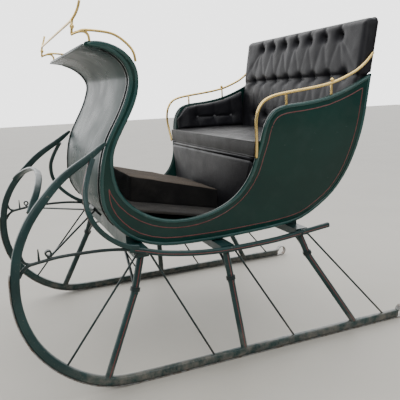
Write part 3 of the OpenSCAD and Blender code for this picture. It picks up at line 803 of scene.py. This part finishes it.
def padded_mesh(front, back, length, height, step, radius, field):
    """A closed pad.

    front and back give its two faces at shares a and b, and field is how far the front stands out there.
    """
    bm = bmesh.new()
    a_list = edge_steps(length, step, radius)
    b_list = edge_steps(height, step, radius)
    faces = []
    for sign, soft in ((1, radius), (-1, radius * BACK_SOFTNESS)):
        rows = []
        for da in a_list:
            row = []
            for db in b_list:
                a, b = da / length, db / height
                p, q = front(a, b), back(a, b)
                out = (p - q).normalized() * sign
                d = min(da, length - da, db, height - db)
                fall = rounding(min(da, length - da), soft) + rounding(min(db, height - db), soft)
                place = (p if sign > 0 else q) - out * min(fall, (p - q).length * 0.48)
                if sign > 0:
                    place += out * field(p, a, b) * min(1.0, d / 0.022)
                row.append(bm.verts.new(place))
            rows.append(row)
        faces.append(rows)
    na, nb = len(a_list), len(b_list)
    for rows in faces:
        for i in range(na - 1):
            for j in range(nb - 1):
                bm.faces.new((rows[i][j], rows[i + 1][j], rows[i + 1][j + 1], rows[i][j + 1]))
    ring = ([(i, 0) for i in range(na)] + [(na - 1, j) for j in range(1, nb)]
            + [(i, nb - 1) for i in range(na - 2, -1, -1)] + [(0, j) for j in range(nb - 2, 0, -1)])
    for (i, j), (k, m) in zip(ring, ring[1:] + ring[:1]):
        bm.faces.new((faces[0][i][j], faces[0][k][m], faces[1][k][m], faces[1][i][j]))
    bmesh.ops.recalc_face_normals(bm, faces=bm.faces)
    return bm


def segment_distance(u, v, fold):
    (u0, v0), (u1, v1) = fold[:2]
    du, dv = u1 - u0, v1 - v0
    t = max(0.0, min(1.0, ((u - u0) * du + (v - v0) * dv) / (du * du + dv * dv)))
    return math.hypot(u - u0 - t * du, v - v0 - t * dv), t


class Tufting:
    """Buttons and the folds between them, in two flat measures u and v along the pad."""

    def __init__(self, puff, dimple, buttons, folds, wrinkle):
        self.puff, self.dimple, self.buttons, self.wrinkle = puff, dimple, buttons, wrinkle
        self.cells = {}
        self.size = 0.06
        for fold in folds:
            (u0, v0), (u1, v1) = fold[:2]
            reach = 0.05
            for i in self.span(min(u0, u1) - reach, max(u0, u1) + reach):
                for j in self.span(min(v0, v1) - reach, max(v0, v1) + reach):
                    self.cells.setdefault((i, j), []).append(fold)

    def span(self, low, high):
        return range(math.floor(low / self.size), math.floor(high / self.size) + 1)

    def at(self, u, v, place):
        depth = 0.0
        for fold in self.cells.get((math.floor(u / self.size), math.floor(v / self.size)), ()):
            d, t = segment_distance(u, v, fold)
            fade = 1.0 - (1.0 - fold[4]) * t
            depth = max(depth, fold[2] * fade * math.exp(-d / fold[3]))
        near = min((math.hypot(u - bu, v - bv) for bu, bv in self.buttons), default=1.0)
        hole = self.dimple * math.exp(-(near / 0.021) ** 1.3)
        soft = noise.noise(place * 7) + 0.4 * noise.noise(Vector((place.x, place.y * 1.5, place.z)) * 17)
        return self.puff - max(depth, hole * 0.6) - hole * 0.55 + self.wrinkle * soft


def make_buttons(name, places):
    """Covered buttons, each with the direction that it faces."""
    bm = bmesh.new()
    for place, out in places:
        lathe(bm, place - out * 4 * MM, place + out * 3.2 * MM,
              [(0, 5 * MM), (0.5, 7.4 * MM), (0.72, 7.6 * MM), (0.88, 6.2 * MM), (0.97, 3.4 * MM),
               (1, 0.8 * MM)], 16)
    add_piece(name, mesh_of(bm), "button")


def surface_places(mesh_object, points, direction):
    """The places where straight lines through points meet a piece, with the direction back out of it."""
    bm = bmesh.new()
    bm.from_mesh(mesh_object.data)
    tree = BVHTree.FromBMesh(bm)
    bm.free()
    out = []
    for p in points:
        place = tree.ray_cast(p - direction * 0.3, direction)[0]
        if place:
            out.append((place, -direction))
    return out


def button_row(count, spacing, z):
    return [((k - (count - 1) / 2) * spacing, z) for k in range(count)]


def make_seat_back():
    solid = Solid("seat_back")
    low, high = solid.low.z + 1 * MM, solid.high.z
    step_z = 1.0885
    top_half = solid.high.y - 2 * MM
    corner = 22 * MM

    rows = {}
    def row(z):
        key = round(z, 5)
        if key not in rows:
            safe = min(z, high - 12 * MM)
            front = solid.hit((-1, 0, safe), (1, 0, 0))
            back = solid.hit((1.5, 0, safe), (-1, 0, 0))
            wide_front = solid.hit((front.x + 2 * MM, 1, safe), (0, -1, 0))
            wide_back = solid.hit((back.x - 2 * MM, 1, safe), (0, -1, 0))
            lean = (z - safe) * 0.16
            rows[key] = (front.x + lean, back.x + lean,
                         min(wide_front.y, top_half), min(wide_back.y, top_half))
        return rows[key]

    def top(y):
        over = abs(y) - (top_half - corner)
        return high if over <= 0 else high - corner + math.sqrt(max(0, corner ** 2 - min(over, corner) ** 2))

    def spot(a, b, back):
        y_share = 2 * a - 1
        z = low + b * (top(y_share * top_half) - low)
        front_x, back_x, front_half, back_half = row(z)
        return Vector((back_x if back else front_x, y_share * (back_half if back else front_half), z))

    high_row = button_row(OUTER_COUNT, OUTER_SPACING, HIGH_ROW_Z)
    middle_row = button_row(MIDDLE_COUNT, MIDDLE_SPACING, MIDDLE_ROW_Z)
    low_row = button_row(OUTER_COUNT, OUTER_SPACING, LOW_ROW_Z)
    folds = []
    for y, z in high_row:
        folds.append(((y, z), (y * 1.01, z + 0.06), 0.012, 0.009, 0.8))
    for first, second in ((high_row, middle_row), (low_row, middle_row)):
        for y, z in first:
            for other in second:
                if abs(other[0] - y) < 0.08:
                    folds.append(((y, z), other, 0.0042, 0.018, 0.5))
    for p, q in zip(middle_row, middle_row[1:]):
        folds.append((p, q, 0.018, 0.010, 1.0))
    for s in (-1, 1):
        folds.append(((s * 0.3955, MIDDLE_ROW_Z), (s * 0.497, 1.083), 0.011, 0.007, 0.8))
        folds.append(((s * 0.336, HIGH_ROW_Z), (s * 0.47, 1.12), 0.006, 0.012, 0.3))
    for y, z in low_row:
        folds.append(((y, z), (y, z - 0.08), 0.009, 0.008, 0.6))
    tufts = Tufting(0.010, 0.030, high_row + middle_row + low_row, folds, 0.0036)

    bm = padded_mesh(lambda a, b: spot(a, b, False), lambda a, b: spot(a, b, True), 2 * top_half, high - low,
                     6 * MM, 15 * MM, lambda p, a, b: tufts.at(p.y, p.z, p))
    pad = add_piece("seat_back_tufted", mesh_of(bm), "black_leather", ("seat_back",))
    spots = [Vector((row(z)[0], y, z)) for y, z in high_row + middle_row + low_row]
    make_buttons("seat_back_buttons", surface_places(pad, spots, Vector((1, 0, 0))))

    bm = bmesh.new()
    start = step_z + 7 * MM
    edge = []
    for k in range(13):
        z = start + (high - corner - start) * k / 12
        edge.append(Vector((row(z)[1] - 3 * MM, -top_half - 0.5 * MM, z)))
    for k in range(1, 9):
        t = math.radians(90 * k / 8)
        z = high - corner + corner * math.sin(t)
        y = -(top_half - corner + corner * math.cos(t))
        edge.append(Vector((row(z)[1] - 3 * MM, y - 0.5 * MM * math.cos(t), z + 0.5 * MM * math.sin(t))))
    mirrored = [Vector((p.x, -p.y, p.z)) for p in reversed(edge)]
    across = [edge[-1].lerp(mirrored[0], k / 12) for k in range(1, 12)]
    line = resampled(curve_through(edge + across + mirrored, 4), 9 * MM)
    sweep(bm, line, [Vector((1, 0, 0.001))] * len(line), round_section(5.5 * MM, 10))
    add_piece("seat_back_piping", mesh_of(bm), "piping")


def make_arm_pads():
    for word, side in SIDES:
        node = "arm_pad_" + word
        solid = Solid(node)
        x0, x1 = solid.low.x + 1 * MM, solid.high.x - 1 * MM
        low = solid.low.z + 0.5 * MM
        columns = {}
        def column(x, solid=solid, side=side, low=low):
            key = round(x, 5)
            if key not in columns:
                crest = None
                for inset in (0.012, 0.02, 0.03):
                    y = solid.high.y - inset if side > 0 else solid.low.y + inset
                    top = solid.hit((x, y, 2), (0, 0, -1))
                    if top and (crest is None or top.z > crest):
                        crest = top.z
                columns[key] = crest or solid.high.z
            return columns[key]

        def spot(a, b, back, solid=solid, side=side, x0=x0, x1=x1, low=low):
            x = x0 + a * (x1 - x0)
            top = column(x)
            rise = min(1.0, math.sin(min(1.0, (x - x0 + 0.004) / 0.05) * math.pi / 2))
            z = low + b * (top - low) * (0.72 + 0.28 * rise)
            z_safe = min(max(z, low + 1 * MM), top - 1.5 * MM)
            x_safe = max(x, x0 + 12 * MM)
            start = (x_safe, side * 1.0, z_safe) if back else (x_safe, 0, z_safe)
            hit = solid.hit(start, (0, -side, 0) if back else (0, side, 0))
            y = hit.y if hit else side * (0.49 if back else 0.45)
            return Vector((x, y, z))

        span = x1 - x0
        row = [(x, ARM_ROW_Z) for x in ARM_BUTTON_X if x < x1 - 0.01]
        folds = [(p, q, 0.012, 0.006, 1.0) for p, q in zip(row, row[1:])]
        for x, z in row:
            folds.append(((x, z), (x - 0.004, z + 0.085), 0.0075, 0.010, 0.5))
            folds.append(((x, z), (x + 0.004, z - 0.06), 0.006, 0.008, 0.4))
        tufts = Tufting(0.006, 0.014, row, folds, 0.003)
        bm = padded_mesh(lambda a, b: spot(a, b, False), lambda a, b: spot(a, b, True), span,
                         solid.high.z - low, 6 * MM, 14 * MM, lambda p, a, b: tufts.at(p.x, p.z, p))
        pad = add_piece(node + "_tufted", mesh_of(bm), "black_leather", (node,))
        spots = [Vector((x, side * 0.46, z)) for x, z in row]
        make_buttons(node + "_buttons", surface_places(pad, spots, Vector((0, side, 0))))


def make_cushion():
    solid = Solid("seat_cushion")
    low, high = solid.low, solid.high
    def spot(a, b, top):
        x = low.x + 0.5 * MM + a * (high.x - low.x - 1 * MM)
        x_safe = min(max(x, low.x + 2 * MM), high.x - 2 * MM)
        z = high.z if top else low.z
        wide = solid.hit((x_safe, 1, z - 3 * MM if top else z + 3 * MM), (0, -1, 0)).y
        return Vector((x, (2 * b - 1) * wide, z))
    def field(p, a, b):
        dome = 0.006 * math.sin(math.pi * min(1, a * 1.02)) * math.sin(math.pi * b) ** 0.5
        sag = noise.noise(p * 7) * 0.0035 + noise.noise(p * 21) * 0.0014
        return dome + sag
    bm = padded_mesh(lambda a, b: spot(a, b, True), lambda a, b: spot(a, b, False),
                     high.x - low.x, 2 * high.y, 9 * MM, 9 * MM, field)
    for v in bm.verts:
        if v.co.x < low.x + 0.004:
            v.co.x += 0.002 * noise.noise(v.co * 14)
    pad = add_piece("seat_cushion_cover", mesh_of(bm), "cushion_leather", ("seat_cushion",))
    bm = bmesh.new()
    for z in (high.z - 3.5 * MM, low.z + 3.5 * MM):
        line = [Vector((low.x + 1.5 * MM, y / 100 * (high.y - 16 * MM), z)) for y in range(-100, 101, 2)]
        sweep(bm, line, [Vector((-1, 0, 0.2))] * len(line), round_section(5 * MM, 10))
    add_piece("seat_cushion_piping", mesh_of(bm), "piping")


def make_foot_rest():
    """A carpet covered box with rounded edges and rippled faces; its top is a lighter brown carpet than its
    near-black sides.
    """
    bm = cad_copy("foot_rest")
    bmesh.ops.bevel(bm, geom=bm.edges[:], offset=5 * MM, segments=2, affect="EDGES", profile=0.6)
    bmesh.ops.triangulate(bm, faces=bm.faces[:])
    for _ in range(4):
        bmesh.ops.subdivide_edges(bm, edges=[e for e in bm.edges if e.calc_length() > 0.03], cuts=1,
                                  use_grid_fill=True)
        bmesh.ops.triangulate(bm, faces=bm.faces[:])
    bm.normal_update()
    moves = [(v, v.normal * (0.0030 * noise.noise(v.co * 13) + 0.0012 * noise.noise(v.co * 47)))
             for v in bm.verts]
    for v, move in moves:
        v.co += move
    mesh = mesh_of(bm)
    add_piece("foot_rest_cover", mesh, "rest_side", ("foot_rest",))
    # Faces that look up get the lighter brown carpet; all the others keep the near-black one.
    mesh.materials.append(M["rest_top"])
    for f in mesh.polygons:
        if f.normal.z > 0.7:
            f.material_index = 1


def make_upholstery():
    make_seat_back()
    make_arm_pads()
    make_cushion()
    make_foot_rest()


# ---------------------------------------------------------------- brass

def make_brass():
    for stem in ("arm_rail", "dash_loop"):
        for word, _ in SIDES:
            node = stem + "_" + word
            add_piece(node + "_tube", smoothed(node, 1), "brass", (node,))
    add_piece("rein_rail_tube", smoothed("rein_rail", 1), "brass", ("rein_rail",))


M = make_materials()
make_camera()
make_stage()
make_side_panels()
make_sheets()
make_boards()
make_gear()
make_stripes()
make_dash_beads()
make_bolts()
make_upholstery()
make_brass()

bpy.context.view_layer.update()
